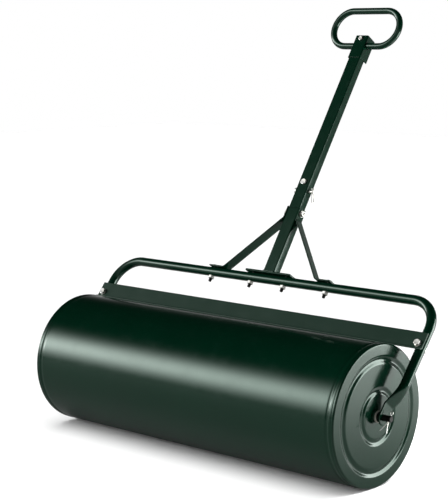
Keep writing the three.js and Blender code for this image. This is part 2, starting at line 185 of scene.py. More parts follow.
def green_paint(name, peel=1.0, wave=0.0, dust=1.0, dull=0.0):
    """Gloss enamel: a little colour drift, orange peel, dusty film, and thin paint on sharp edges."""
    material, n, shader, coord = new_material(name)
    drift = n.noise(coord, 9.0, 3.0)
    deep = n.mix(drift, PAINT_DEEP, PAINT_LIGHT)
    film = n.span(n.noise(coord, 38.0, 6.0, 0.62), 0.50, 0.80, 0.0, 0.10 * dust)
    dusty = n.mix(film, deep, PAINT_DUSTY)
    point = n.add("ShaderNodeNewGeometry").outputs["Pointiness"]
    edge = n.span(point, 0.56, 0.66, 0.0, 0.35)
    n.link(n.mix(edge, dusty, PAINT_WORN), shader.inputs["Base Color"])
    smear = n.noise(coord, 16.0, 4.0, 0.6)
    fine = n.noise(coord, 240.0, 2.0)
    rough = n.math("ADD", n.span(smear, 0.3, 0.75, PAINT_SMOOTH + dull, PAINT_SMEARED + dull),
                   n.span(fine, 0.3, 0.7, -0.008, 0.012))
    n.link(n.math("ADD", rough, n.math("MULTIPLY", film, 0.9)), shader.inputs["Roughness"])
    normal = n.bump(n.noise(coord, 420.0, 1.0), 0.035 * peel, 0.0004)
    if wave:
        normal = n.bump(n.noise(coord, 7.0, 1.0), wave, 0.004, normal)
    n.link(normal, shader.inputs["Normal"])
    shader.inputs["IOR"].default_value = 1.5
    shader.inputs["Specular Tint"].default_value = PAINT_TINT
    return material


def zinc(name, shade=(0.88, 0.89, 0.88), rough=0.38):
    """Bright zinc plate: cloudy passivation and fine turning lines."""
    material, n, shader, coord = new_material(name)
    cloud = n.noise(coord, 120.0, 4.0, 0.6)
    warm = tuple(c * k for c, k in zip(shade, (0.93, 0.90, 0.80)))
    n.link(n.mix(n.span(cloud, 0.35, 0.7, 0.0, 1.0), shade, warm), shader.inputs["Base Color"])
    lines = n.noise(coord, 900.0, 2.0, 0.5, (0.25, 1.0, 1.0))
    level = n.math("ADD", n.span(cloud, 0.3, 0.7, rough, rough + 0.14), n.span(lines, 0.3, 0.7, -0.04, 0.05))
    n.link(level, shader.inputs["Roughness"])
    n.link(n.bump(lines, 0.12, 0.0002), shader.inputs["Normal"])
    shader.inputs["Metallic"].default_value = 1.0
    return material


def black_steel(name):
    """Black oxide steel: near black, oily patches, dull grey on the edges."""
    material, n, shader, coord = new_material(name)
    cloud = n.noise(coord, 150.0, 4.0, 0.6)
    base = n.mix(cloud, (0.008, 0.008, 0.008), (0.022, 0.021, 0.019))
    point = n.add("ShaderNodeNewGeometry").outputs["Pointiness"]
    edge = n.span(point, 0.56, 0.64, 0.0, 0.45)
    n.link(n.mix(edge, base, (0.10, 0.10, 0.095)), shader.inputs["Base Color"])
    n.link(n.span(cloud, 0.3, 0.7, 0.30, 0.48), shader.inputs["Roughness"])
    n.link(n.bump(n.noise(coord, 700.0, 2.0), 0.15, 0.0002), shader.inputs["Normal"])
    shader.inputs["Metallic"].default_value = 0.6
    return material


def moulded(name, low, high, rough, grain=0.2):
    """Moulded plastic or rubber with a fine tool grain."""
    material, n, shader, coord = new_material(name)
    cloud = n.noise(coord, 90.0, 3.0)
    n.link(n.mix(cloud, low, high), shader.inputs["Base Color"])
    n.link(n.span(cloud, 0.3, 0.7, rough - 0.05, rough + 0.07), shader.inputs["Roughness"])
    n.link(n.bump(n.noise(coord, 1100.0, 2.0), grain, 0.0002), shader.inputs["Normal"])
    return material


DRUM_PAINT = green_paint("green_paint_drum", peel=0.8, wave=0.02)
PAINT = green_paint("green_paint_frame")
SATIN = green_paint("green_paint_satin", dull=0.27)
ZINC = zinc("zinc_plate")
PIN_ZINC = zinc("zinc_wire", (0.86, 0.87, 0.86), 0.3)
BLACK = black_steel("black_oxide_steel")
NYLON = moulded("natural_nylon", (0.62, 0.60, 0.52), (0.72, 0.70, 0.62), 0.5)
RUBBER = moulded("seal_rubber", (0.012, 0.012, 0.012), (0.03, 0.03, 0.03), 0.75, 0.35)
PLASTIC = moulded("plug_plastic", (0.012, 0.012, 0.012), (0.022, 0.022, 0.022), 0.42, 0.3)


# ---------------------------------------------------------------- mesh helpers
def skin(rings, loop=False):
    """Rings of equal length joined in a row: capped at both ends, or joined last to first."""
    n = len(rings[0])
    verts = [Vector(p) for ring in rings for p in ring]
    faces = []
    for i in range(len(rings) if loop else len(rings) - 1):
        a, b = i * n, ((i + 1) % len(rings)) * n
        faces += [(a + j, b + j, b + (j + 1) % n, a + (j + 1) % n) for j in range(n)]
    if not loop:
        faces.append(tuple(range(n)))
        faces.append(tuple(range((len(rings) - 1) * n, len(rings) * n)))
    return verts, faces


def circle(x, r, n):
    return [(x, r * math.cos(2 * math.pi * j / n), r * math.sin(2 * math.pi * j / n)) for j in range(n)]


def hex_radius(angle, across):
    off = (angle + math.pi / 6) % (math.pi / 3) - math.pi / 6
    return across / 2 / math.cos(off)


def hex_ring(x, across, n, chamfer=0.0, up=1.0):
    """Hexagon whose corners fall away from x by the chamfer's slope, towards -up."""
    ring = []
    for j in range(n):
        a = 2 * math.pi * j / n
        r = hex_radius(a, across)
        ring.append((x - up * chamfer * max(0.0, r - across * 0.49), r * math.cos(a), r * math.sin(a)))
    return ring


def turned(points, n=96, closed=True):
    return skin([circle(x, r, n) for x, r in points], closed)


def rod(r, x0, x1, n=48):
    return turned([(x0, r), (x1, r)], n, False)


def fillet(points, radii, steps=6):
    """Rounds the inner corners of a flat run of points, each with its own radius."""
    out = [points[0]]
    for i in range(1, len(points) - 1):
        radius = radii[i - 1] if isinstance(radii, (list, tuple)) else radii
        p = Vector(points[i])
        a = (Vector(points[i - 1]) - p).normalized()
        b = (Vector(points[i + 1]) - p).normalized()
        half = math.acos(max(-1.0, min(1.0, a.dot(b)))) / 2
        if radius <= 0 or half > math.radians(89.5):
            out.append(tuple(p))
            continue
        centre = p + (a + b).normalized() * (radius / math.sin(half))
        start = p + a * (radius / math.tan(half)) - centre
        end = p + b * (radius / math.tan(half)) - centre
        turn = math.atan2(start.x * end.y - start.y * end.x, start.dot(end))
        for k in range(steps + 1):
            c, s = math.cos(turn * k / steps), math.sin(turn * k / steps)
            out.append((centre.x + start.x * c - start.y * s, centre.y + start.x * s + start.y * c))
    out.append(points[-1])
    return out


def strip(points, t, y0, y1):
    """Bent sheet strip: the run lies in XZ, the strip's width runs along Y."""
    rings = []
    last = len(points) - 1
    for i, p in enumerate(points):
        here = Vector(p)
        before = here - Vector(points[max(0, i - 1)])
        after = Vector(points[min(last, i + 1)]) - here
        d0, d1 = (before or after).normalized(), (after or before).normalized()
        if i == 0:
            d0 = d1
        if i == last:
            d1 = d0
        along = (d0 + d1).normalized()
        grow = t / 2 / max(0.5, abs(along.dot(d1)))
        ux, uz = -along.y * grow, along.x * grow
        rings.append([(p[0] - ux, y0, p[1] - uz), (p[0] + ux, y0, p[1] + uz),
                      (p[0] + ux, y1, p[1] + uz), (p[0] - ux, y1, p[1] - uz)])
    return skin(rings)


def round_rect(w, d, r, z, steps=8, bulge=0.0):
    """Rounded rectangle at height z; bulge bows its straight sides out a little, as in drawn tube."""
    ring = []
    for q, (sx, sy) in enumerate(((1, 1), (-1, 1), (-1, -1), (1, -1))):
        for k in range(steps + 1):
            a = (q + k / steps) * math.pi / 2
            ring.append((sx * (w / 2 - r) + r * math.cos(a), sy * (d / 2 - r) + r * math.sin(a), z))
    if bulge:
        out = []
        for i, p in enumerate(ring):
            out.append(p)
            nxt = ring[(i + 1) % len(ring)]
            if math.dist(p, nxt) > r * 1.5:
                for k in range(1, 8):
                    f = k / 8
                    lift = bulge * 4 * f * (1 - f)
                    dx, dy = nxt[0] - p[0], nxt[1] - p[1]
                    size = math.hypot(dx, dy)
                    out.append((p[0] + dx * f + dy / size * lift, p[1] + dy * f - dx / size * lift, z))
        ring = out
    return ring


def box_tube(w, d, wall, r, z0, z1, chamfer=0.35, bulge=0.12):
    outer = [round_rect(w, d, r, z, bulge=bulge) for z in (z0 + chamfer, z1 - chamfer)]
    ends = [round_rect(w - 2 * chamfer, d - 2 * chamfer, r - 0.3, z, bulge=bulge) for z in (z0, z1)]
    inner = [round_rect(w - 2 * wall, d - 2 * wall, max(0.6, r - wall), z, bulge=bulge) for z in (z1, z0)]
    return skin([ends[0], outer[0], outer[1], ends[1], *inner], True)


def curve_through(points, steps):
    """Catmull-Rom curve through the points."""
    pts = [Vector(p) for p in points]
    pts = [2 * pts[0] - pts[1], *pts, 2 * pts[-1] - pts[-2]]
    out = []
    for i in range(1, len(pts) - 2):
        a, b, c, d = pts[i - 1:i + 3]
        for k in range(steps):
            t = k / steps
            out.append(0.5 * ((2 * b) + (c - a) * t + (2 * a - 5 * b + 4 * c - d) * t * t
                              + (3 * b - a - 3 * c + d) * t ** 3))
    out.append(pts[-2])
    return out


def wire(points, r, n=16, flat=None):
    """Round wire through points; flat gives the side a half-round wire is flat on."""
    normal = Vector((0, 1, 0)) if flat is not None else Vector((1, 0, 0))
    rings = []
    for i, p in enumerate(points):
        t = (points[min(i + 1, len(points) - 1)] - points[max(i - 1, 0)]).normalized()
        normal = (normal - t * normal.dot(t)).normalized()
        side = t.cross(normal)
        end = 0.72 if i in (0, len(points) - 1) else 1.0
        ring = []
        for j in range(n):
            a = 2 * math.pi * j / n
            u, v = r * math.cos(a) * end, r * math.sin(a) * end
            if flat is not None:
                v = max(v * flat, -0.35 * r) * flat
            ring.append(p + normal * u + side * v)
        rings.append(ring)
    return skin(rings)


def finish_mesh(obj, sharp=32.0):
    """Outward normals, smooth shading, hard edges where faces meet at more than the angle."""
    bm = bmesh.new()
    bm.from_mesh(obj.data)
    bmesh.ops.remove_doubles(bm, verts=bm.verts, dist=1e-7)
    bmesh.ops.dissolve_degenerate(bm, edges=bm.edges, dist=1e-7)
    bmesh.ops.recalc_face_normals(bm, faces=bm.faces)
    limit = math.radians(sharp)
    for face in bm.faces:
        face.smooth = True
    for edge in bm.edges:
        edge.smooth = not (edge.is_manifold and edge.calc_face_angle(0.0) > limit)
    bm.to_mesh(obj.data)
    bm.free()
    modified(obj, WEIGHTED_NORMAL={"keep_sharp": True, "weight": 50, "mode": "FACE_AREA"})


def loose(name, made, place):
    verts, faces = made
    mesh = bpy.data.meshes.new(name)
    mesh.from_pydata([(place @ v) * 0.001 for v in verts], [], faces)
    obj = bpy.data.objects.new(name, mesh)
    bpy.context.scene.collection.objects.link(obj)
    return obj


def modified(obj, **modifiers):
    """Applies modifiers by kind, each with its settings."""
    for kind, settings in modifiers.items():
        modifier = obj.modifiers.new(kind, kind)
        for key, value in settings.items():
            setattr(modifier, key, value)
    graph = bpy.context.evaluated_depsgraph_get()
    mesh = bpy.data.meshes.new_from_object(obj.evaluated_get(graph))
    obj.modifiers.clear()
    obj.data = mesh


def drill(obj, cutters):
    for made, place in cutters:
        tool = loose("cutter", made, place)
        finish_mesh(tool)
        modified(obj, BOOLEAN={"object": tool, "operation": "DIFFERENCE", "solver": "EXACT"})
        bpy.data.objects.remove(tool)


def piece(name, body, made, place, material, stands_for=(), holes=(), bevel=0.0, sharp=32.0):
    obj = loose(name, made, place)
    finish_mesh(obj, sharp)
    if holes:
        drill(obj, holes)
    if bevel:
        modified(obj, BEVEL={"width": bevel * 0.001, "segments": 3, "limit_method": "ANGLE",
                             "angle_limit": math.radians(40), "harden_normals": False})
    if holes or bevel:
        finish_mesh(obj, 40.0 if bevel else sharp)
    obj.data.materials.clear()
    obj.data.materials.append(material)
    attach(obj, body)
    if stands_for:
        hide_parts(*stands_for)
    return obj


# ---------------------------------------------------------------- fasteners
HEX_CHAMFER = 0.58


def thread_rows(d, pitch, start, end, n, rows=6):
    """Rings of a rolled thread from start to end along X, with a lead-in at start."""
    depth = 0.55 * pitch
    count = int(round((end - start) / pitch * rows))
    rings = []
    for i in range(count + 1):
        x = start + (end - start) * i / count
        lead = min(1.0, 0.35 + (x - start) / (pitch * 1.3))
        fade = min(1.0, (end - x) / pitch)
        ring = []
        for j in range(n):
            a = 2 * math.pi * j / n
            wave = 0.5 - 0.5 * math.cos(2 * math.pi * (x / pitch - j / n))
            r = d / 2 - depth * wave * fade
            r = min(r, d / 2 * (0.62 + 0.38 * lead) if lead < 1 else r)
            ring.append((x, r * math.cos(a), r * math.sin(a)))
        rings.append(ring)
    return rings


def hex_bolt(d, length, across, head, pitch=1.25, n=36, thread=16.0):
    """Head from 0 outwards with a washer face and chamfered top, shank back to -length."""
    flange = across * 0.47
    return skin([
        circle(-length, d * 0.36, n), *thread_rows(d, pitch, -length + 0.3, -length + thread, n),
        circle(-0.25, d / 2, n), circle(0, d / 2 + 0.1, n), circle(0, flange, n), circle(0.35, flange, n),
        hex_ring(0.45, across, n, 0.35, -1.0), hex_ring(head, across, n, HEX_CHAMFER),
        circle(head, across * 0.46, n), circle(head - 0.18, across * 0.40, n),
        circle(head - 0.3, across * 0.1, n),
    ])


def dome_bolt(d, length, head, high, pitch=1.25, n=36, thread=16.0):
    """Domed head of radius head from 0 outwards, shank back to -length."""
    dome = [(head, 0.0), (head, high * 0.22), (head * 0.97, high * 0.4), (head * 0.88, high * 0.62),
            (head * 0.72, high * 0.82), (head * 0.48, high * 0.95), (head * 0.2, high)]
    return skin([
        circle(-length, d * 0.36, n), *thread_rows(d, pitch, -length + 0.3, -length + thread, n),
        circle(-0.1, d / 2, n), *[circle(x, r, n) for r, x in dome],
    ])


def hex_nut(d, across, high, n=36):
    bore = d / 2 + 0.15
    return skin([
        circle(0.3, bore, n), circle(0, bore + 0.3, n), circle(0, across * 0.46, n),
        hex_ring(0.0, across, n, HEX_CHAMFER, -1.0), hex_ring(high, across, n, HEX_CHAMFER),
        circle(high, across * 0.46, n), circle(high, bore + 0.3, n), circle(high - 0.3, bore, n),
    ], True)


def flat_washer(inner, outer, t, n=48):
    e = 0.2
    return turned([(0, inner + e), (0, outer - e), (e, outer), (t - e, outer), (t, outer - e),
                   (t, inner + e), (t - e, inner), (e, inner)], n)


# ---------------------------------------------------------------- drum
def shell_profile():
    """Half of the drum's outline, with the rolled groove and bead near its end, and then mirrored."""
    half = [(0, SHELL_R), (200, SHELL_R), (420, SHELL_R), (423.5, 151.98), (425.2, 151.8), (426.4, 151.45),
            (427.4, 151.22), (428.4, 151.15), (430.2, 151.15), (431.4, 151.25), (432.4, 151.65),
            (433.4, 152.15), (434.6, 152.42), (436.2, DRUM_R), (438.4, 152.48), (439.5, 152.25),
            (440, 151.8)]
    outer = [(-x, r) for x, r in reversed(half[1:])] + half
    return outer + [(440, 150.4), (439.6, 150.2), (-439.6, 150.2), (-440, 150.4)]


def groove(x, middle, half, deep, steps=18):
    """A pressed round groove seen from the rim inwards, as a smooth wave in a flat face."""
    out = []
    for k in range(steps + 1):
        t = 2 * k / steps - 1
        out.append((x - deep * (0.5 + 0.5 * math.cos(math.pi * t)), middle - half * t))
    return out


def cap_profile():
    rim = fillet([(CAP_EDGE, 152.3), (443.6, 152.3), (CAP_FACE, 149.8), (CAP_FACE, 146.5)], [1.6, 3.2], 6)[:-1]
    face = groove(CAP_FACE, OUTER_GROOVE, 10.8, 3.1) + groove(CAP_FACE, INNER_GROOVE, 9.6, 2.8)
    bore = [(CAP_FACE, 13.2), (445.6, CAP_BORE), (CAP_BACK, CAP_BORE)]
    inside = groove(CAP_BACK, OUTER_GROOVE, 11.6, 4.0) + groove(CAP_BACK, INNER_GROOVE, 10.2, 3.5)
    back = [*reversed(inside), (CAP_BACK, 146), (443.2, 148.4), (CAP_EDGE, 150.0)]
    return rim + face + bore + back


def weld_ring(radius, size, x, count, bumps):
    """A closed weld bead round the X axis, with a ripple of overlapping puddles."""
    rings = []
    for i in range(count):
        a = 2 * math.pi * i / count
        ripple = abs(math.sin(a * bumps / 2)) ** 0.6
        r = size * (0.82 + 0.18 * ripple) + random.uniform(-0.03, 0.03)
        ring = []
        for j in range(10):
            b = 2 * math.pi * j / 10
            rr = radius + r * math.cos(b)
            ring.append((x + r * math.sin(b), rr * math.cos(a), rr * math.sin(a)))
        rings.append(ring)
    return skin(rings, True)


def seam_bead(turn=math.radians(152), half=2.6, root=151.6, count=420):
    """The weld bead along the drum: low, rippled, and sunk a little into the sheet on both sides."""
    rings = []
    for i in range(count):
        x = -419.0 + i * 2.0
        high = 0.34 + 0.10 * abs(math.sin(i * 0.9)) + random.uniform(-0.02, 0.02)
        ring = []
        for j in range(7):
            v = -half + 2 * half * j / 6
            r = SHELL_R + high * math.cos(v / half * math.pi / 2) - (0.25 if j in (0, 6) else 0.0)
            a = turn + v / SHELL_R
            ring.append((x, r * math.sin(a), r * math.cos(a)))
        for v in (2.4, -2.4):
            a = turn + v / SHELL_R
            ring.append((x, root * math.sin(a), root * math.cos(a)))
        rings.append(ring)
    return skin(rings)


def make_drum():
    piece("drum_shell_skin", "drum", turned(shell_profile(), 256), AT_AXLE, DRUM_PAINT, ["drum_shell"])
    piece("drum_shell_seam", "drum", seam_bead(), AT_AXLE, DRUM_PAINT)
    right = turned(cap_profile(), 192)
    piece("end_cap_right_skin", "drum", right, AT_AXLE, DRUM_PAINT, ["end_cap_right"])
    piece("end_cap_left_skin", "drum", right, AT_AXLE @ FLIP_X, DRUM_PAINT, ["end_cap_left"],
          holes=[(rod(FILL_HOLE, -450, -430, 64), AT_FILL)])
    boss = fillet([(-446.3, FILL_HOLE), (-446.3, FILL_BOSS), (-449.2, 20.2), (-450.0, 18.6), (-450.0, FILL_HOLE)],
                  [0, 1.0, 0.6], 4)
    piece("filler_boss_ring", "drum", turned(boss, 72), AT_FILL, DRUM_PAINT, ["filler_boss"])
    weld = weld_ring(FILL_BOSS + 0.5, 1.3, -446.5, 120, 32)
    piece("filler_boss_weld", "drum", weld, AT_FILL, DRUM_PAINT)
    n = 48
    shank = [(-432, 13.2), (-433.5, 14.6), (-452.1, 14.9)]
    flange = [(-452.1, 18.7), (-452.4, 19.0), (-453.8, 19.0), (-454.2, 18.6)]
    dish = [(PLUG_END, 11.0), (PLUG_END, 7.4), (-458.9, 7.0), (-458.7, 2.0)]
    plug = skin([*(circle(x, r, n) for x, r in shank + flange), hex_ring(-454.2, PLUG_ACROSS, n),
                 hex_ring(PLUG_END, PLUG_ACROSS, n, HEX_CHAMFER, -1.0), *(circle(x, r, n) for x, r in dish)])
    piece("filler_plug_hex", "filler_plug", plug, AT_FILL, PLASTIC, ["filler_plug"])


# ---------------------------------------------------------------- bow, axle and scraper
def bow_ring(x, z, a, b, m, rx=1.0, rz=0.0, n=48):
    """Superellipse section of the bow: half-widths a and b, power m, with a along (rx, rz)."""
    ring = []
    for j in range(n):
        t = 2 * math.pi * (j + 0.5) / n
        c, s = math.cos(t), math.sin(t)
        u = a * math.copysign(abs(c) ** (2 / m), c)
        v = b * math.copysign(abs(s) ** (2 / m), s)
        ring.append((x + u * rx, v, z + u * rz))
    return ring


def make_bow():
    stations = []
    for k in range(1, 9):
        t = math.pi / 2 * k / 8
        thick = TAB_HALF * (0.72 if k == 1 else 0.9 if k == 2 else 1.0)
        stations.append((TAB_X, -TAB_WIDTH * math.cos(t), thick, TAB_WIDTH * math.sin(t), 6.0))
    stations.append((TAB_X, 27.0, TAB_HALF, TAB_WIDTH, 6.0))
    keys = [(TAB_X, 27.6, TAB_HALF, TAB_WIDTH, 6.0), (465.6, 38.0, 3.0, 17.0, 5.2),
            (470.6, 49.0, 4.8, 16.2, 4.2), (473.9, 60.0, 7.8, 14.0, 3.0),
            (476.1, 70.0, 10.0, 11.9, 2.3), (ARM_X, 80.0, TUBE_R, TUBE_R, 2.0)]
    for before, after in zip(keys, keys[1:]):
        for k in range(1, 5):
            stations.append(tuple(p + (q - p) * k / 4 for p, q in zip(before, after)))
    right = [bow_ring(x, z, a, b, m) for x, z, a, b, m in stations]
    for k in range(29):
        t = math.pi / 2 * k / 28
        c, s = math.cos(t), math.sin(t)
        x, z = ARM_X - BEND_R + BEND_R * c, CROSS_S - BEND_R + BEND_R * s
        right.append(bow_ring(x, z, TUBE_R, TUBE_R, 2.0, c, s))
    left = [[(-x, y, z) for x, y, z in ring] for ring in reversed(right)]
    holes = [(rod(AXLE_R + GAP, -500, 500, 64), ON_ARM)]
    for s in (-1, 1):
        holes.append((rod(M8_HOLE, -20, 20, 32), ON_ARM @ shift(s * SCR_BOLT_X, 0, SCR_BOLT) @ ALONG_Y))
        for at in (PLATE_BOLT_X, BRACE_FOOT_BOLT):
            holes.append((rod(M8_HOLE, -20, 20, 32), ON_BAR @ shift(s * at) @ ALONG_Z))
    piece("bow_frame_tube", "frame", skin(right + left), ON_ARM, PAINT, ["bow_frame"], holes=holes)


def split_pin():
    """Half-round wire: both legs side by side through the hole, the eye above, the tips spread."""
    run = [Vector(p) for p in ((8.5, 0, -33), (6.3, 0, -26), (3.6, 0, -17), (1.6, 0, -10), (1.25, 0, -4),
                               (1.25, 0, 8.4))]
    for k in range(17):
        a = -math.pi / 4 + k / 16 * math.pi * 1.5
        run.append(Vector((3.6 * math.cos(a), 0, 13.4 + 3.6 * math.sin(a))))
    run += [Vector(p) for p in ((-1.25, 0, 8.4), (-1.25, 0, -4), (-1.7, 0, -10), (-4.4, 0, -17),
                                (-7.4, 0, -24), (-10.5, 0, -30))]
    return wire(curve_through(run, 3), 1.1, 14, flat=1.0)


def make_axle():
    ends = [(-AXLE_HALF, 5.6), (-AXLE_HALF + 1.3, AXLE_R), (AXLE_HALF - 1.3, AXLE_R), (AXLE_HALF, 5.6)]
    holes = [(rod(2.8, -20, 20, 24), ON_ARM @ shift(s * PIN_X) @ ALONG_Z) for s in (-1, 1)]
    bar = turned(ends, 64, False)
    piece("axle_rod_bar", "frame", bar, ON_ARM, BLACK, ["axle_rod"], holes=holes, bevel=0.25)
    spacer = turned(fillet([(SPACER_IN, 7.4), (SPACER_IN, 11), (SPACER_OUT, 11), (SPACER_OUT, 7.4)], 0.5, 3), 64)
    ring = flat_washer(AXLE_R + GAP, 14, 2.0, 64)
    for side, flip in (("right", Matrix.Identity(4)), ("left", FLIP_X)):
        piece(f"axle_spacer_{side}_sleeve", "frame", spacer, AT_AXLE @ flip, BLACK, [f"axle_spacer_{side}"])
        piece(f"axle_washer_{side}_disc", "frame", ring, AT_AXLE @ flip @ shift(WASHER_IN), BLACK,
              [f"axle_washer_{side}"])
        piece(f"split_pin_{side}_wire", "frame", split_pin(), ON_ARM @ flip @ shift(PIN_X), PIN_ZINC,
              [f"split_pin_{side}"], sharp=45)


def make_scraper():
    y = TUBE_R + GAP + SCR_T / 2
    run = fillet([(SCR_HIGH, y), (SCR_LOW + 1.5, y), (SCR_LOW - 2, y + 6)], 3, 8)
    holes = [(rod(M8_HOLE, -30, 30, 32), ON_ARM @ shift(s * SCR_BOLT_X, 0, SCR_BOLT) @ ALONG_Y) for s in (-1, 1)]
    plate = strip([(-d, z) for z, d in run], SCR_T, -SCR_HALF, SCR_HALF)
    piece("scraper_bar_plate", "frame", plate, ON_ARM @ ALONG_Y, SATIN, ["scraper_bar"], holes=holes,
          bevel=0.7)
    face = -(y + SCR_T / 2 + GAP)
    for side, s in (("right", 1), ("left", -1)):
        here = ON_ARM @ shift(s * SCR_BOLT_X, 0, SCR_BOLT)
        piece(f"scraper_washer_{side}_disc", "frame", flat_washer(*M8_WASHER),
              here @ shift(0, face - WASHER_T) @ ALONG_Y, ZINC, [f"scraper_washer_{side}"])
        piece(f"scraper_bolt_{side}_hex", "frame", hex_bolt(length=40, **M8_BOLT),
              here @ shift(0, face - WASHER_T - GAP) @ TURN_Z @ ALONG_Y, ZINC, [f"scraper_bolt_{side}"])
        piece(f"scraper_nut_{side}_hex", "frame", hex_nut(*M8_NUT),
              here @ shift(0, TUBE_R + GAP) @ ALONG_Y, ZINC, [f"scraper_nut_{side}"])


# ---------------------------------------------------------------- drawbar
def weld_rect(w, d, r, z, size):
    """Weld bead round the drawbar's foot."""
    path = []
    ring = round_rect(w, d, r, z, 6)
    for p, q in zip(ring, ring[1:] + ring[:1]):
        steps = max(1, int(math.dist(p, q) / 0.9))
        path += [Vector(p).lerp(Vector(q), k / steps) for k in range(steps)]
    rings = []
    count = len(path)
    for i, p in enumerate(path):
        t = (path[(i + 1) % count] - path[i - 1]).normalized()
        out = Vector((t.y, -t.x, 0))
        ripple = abs(math.sin(i * math.pi / 3.4)) ** 0.6
        s = size * (0.8 + 0.2 * ripple) + random.uniform(-0.05, 0.05)
        rings.append([p + out * (s * math.cos(b)) + Vector((0, 0, s * math.sin(b)))
                      for b in (2 * math.pi * j / 10 for j in range(10))])
    return skin(rings, True)


def make_foot():
    low, high = TUBE_R + GAP, TUBE_R + GAP + 4
    holes = [(rod(M8_HOLE, 0, 40, 32), ON_BAR @ shift(s * PLATE_BOLT_X) @ ALONG_Z) for s in (-1, 1)]
    plate = skin([round_rect(136, 30, 4, low), round_rect(136, 30, 4, high)])
    piece("foot_plate_slab", "frame", plate, ON_BAR, PAINT, ["foot_plate"], holes=holes, bevel=0.6)
    weld = weld_rect(BAR_W + 1.6, BAR_D + 1.6, BAR_R + 0.8, high + 0.9, 1.9)
    piece("drawbar_foot_weld", "frame", weld, ON_BAR, PAINT)
    for side, s in (("right", 1), ("left", -1)):
        for part, at, top in (("plate", PLATE_BOLT_X, PLATE_SEAT), ("brace", BRACE_FOOT_BOLT, BRACE_SEAT)):
            here = ON_BAR @ shift(s * at)
            piece(f"{part}_bolt_{side}_dome", "frame", dome_bolt(length=top + 26, **M8_DOME),
                  here @ shift(0, 0, top) @ ALONG_Z, BLACK, [f"{part}_bolt_{side}"])
            piece(f"{part}_nut_{side}_hex", "frame", hex_nut(*M8_NUT),
                  here @ shift(0, 0, -TUBE_R - GAP) @ ALONG_Z @ TURN_Y, ZINC, [f"{part}_nut_{side}"])


def cross_hole(z, r, y=0.0):
    """A hole along X through the drawbar."""
    return rod(r, -40, 40, 32), ON_BAR @ shift(0, y, z)


def bar_hole(z, r, y0=-20.0, y1=20.0):
    """A hole from front to back through the drawbar."""
    return rod(r, y0, y1, 32), ON_BAR @ shift(0, 0, z) @ ALONG_Y


def make_drawbar():
    lower = box_tube(BAR_W, BAR_D, BAR_WALL, BAR_R, BAR_FOOT, BAR_SPLIT - 0.5)
    upper = box_tube(BAR_W, BAR_D, BAR_WALL, BAR_R, BAR_SPLIT + 0.5, BAR_TOP)
    piece("drawbar_lower_tube", "frame", lower, ON_BAR, PAINT, ["drawbar_lower"],
          holes=[cross_hole(BRACE_BOLT, M8_HOLE)])
    piece("drawbar_upper_tube", "frame", upper, ON_BAR, PAINT, ["drawbar_upper"],
          holes=[cross_hole(LOCK_Z, M8_HOLE), bar_hole(CLAMP_Z, M8_HOLE), bar_hole(HEAD_BOLT, M6_HOLE),
                 cross_hole(RING_Z, RING_R + GAP, RING_Y)])
    piece("clamp_bolt_hex", "frame", hex_bolt(length=33, **M8_BOLT),
          ON_BAR @ shift(0, -BAR_D / 2 - GAP, CLAMP_Z) @ TURN_Z @ ALONG_Y, ZINC, ["clamp_bolt"])
    piece("clamp_nut_hex", "frame", hex_nut(*M8_NUT), ON_BAR @ shift(0, BAR_D / 2 + GAP, CLAMP_Z) @ ALONG_Y,
          ZINC, ["clamp_nut"])


def make_braces():
    x = BAR_W / 2 + GAP + BRACE_T / 2
    z = TUBE_R + GAP + BRACE_T / 2
    run = fillet([(x, BRACE_TOP), (x, BRACE_BEND), (BRACE_FOOT, z), (BRACE_END, z)], 8, 10)
    brace = strip(run, BRACE_T, -BRACE_W / 2, BRACE_W / 2)
    out = x + BRACE_T / 2 + GAP
    seat = out + WASHER_T + GAP
    for side, flip in (("right", Matrix.Identity(4)), ("left", FLIP_X)):
        here = ON_BAR @ flip
        holes = [(rod(M8_HOLE, 0, 40, 32), here @ shift(BRACE_FOOT_BOLT) @ ALONG_Z),
                 cross_hole(BRACE_BOLT, M8_HOLE)]
        piece(f"brace_{side}_flat", "frame", brace, here, PAINT, [f"brace_{side}"], holes=holes, bevel=0.6)
        piece(f"tie_washer_{side}_disc", "frame", flat_washer(*M8_WASHER), here @ shift(out, 0, BRACE_BOLT),
              ZINC, [f"tie_washer_{side}"])
    piece("tie_bolt_hex", "frame", hex_bolt(length=2 * seat + 9.5, **M8_BOLT),
          ON_BAR @ FLIP_X @ shift(seat, 0, BRACE_BOLT), ZINC, ["tie_bolt"])
    piece("tie_nut_hex", "frame", hex_nut(*M8_NUT), ON_BAR @ shift(seat, 0, BRACE_BOLT), ZINC, ["tie_nut"])


def make_lock():
    upright = ON_BAR @ shift(0, 0, LOCK_Z) @ Matrix.Rotation(BAR_TILT, 4, "X")
    head = [(-25.5, 5.2), (-24.9, 6.3), (-24.0, 7.0), (-20.2, 7.0), (-19.6, 6.5), (-19.0, 6.0), (-17.4, 6.0),
            (-17.2, 5.8)]
    shank = [(-17.2, LOCK_R), (LOCK_TIP - 1.6, LOCK_R), (LOCK_TIP - 0.5, 3.4), (LOCK_TIP, 2.6)]
    piece("lock_pin_turned", "lock_pin", turned(head + shank, 48, False), upright, PIN_ZINC, ["lock_pin"],
          holes=[(rod(1.6, -10, 10, 24), upright @ shift(CLIP_X) @ ALONG_Z)])
    run = [Vector((0, 0, 9)), Vector((0, 0, -6)), Vector((0, 0, -17))]
    for k in range(1, 11):
        a = math.pi * 0.05 + k / 10 * math.pi * 1.12
        run.append(Vector((0, 3.6 - 4.4 * math.cos(a), -20.5 - 4.4 * math.sin(a))))
    run += [Vector(p) for p in ((0, 6, -13), (0, 6, -5), (0, 6.6, 0), (0, 6, 4.5), (0, 7.4, 8))]
    piece("spring_clip_wire", "spring_clip", wire(curve_through(run, 3), 1.2, 16), upright @ shift(CLIP_X),
          PIN_ZINC, ["spring_clip"], sharp=45)


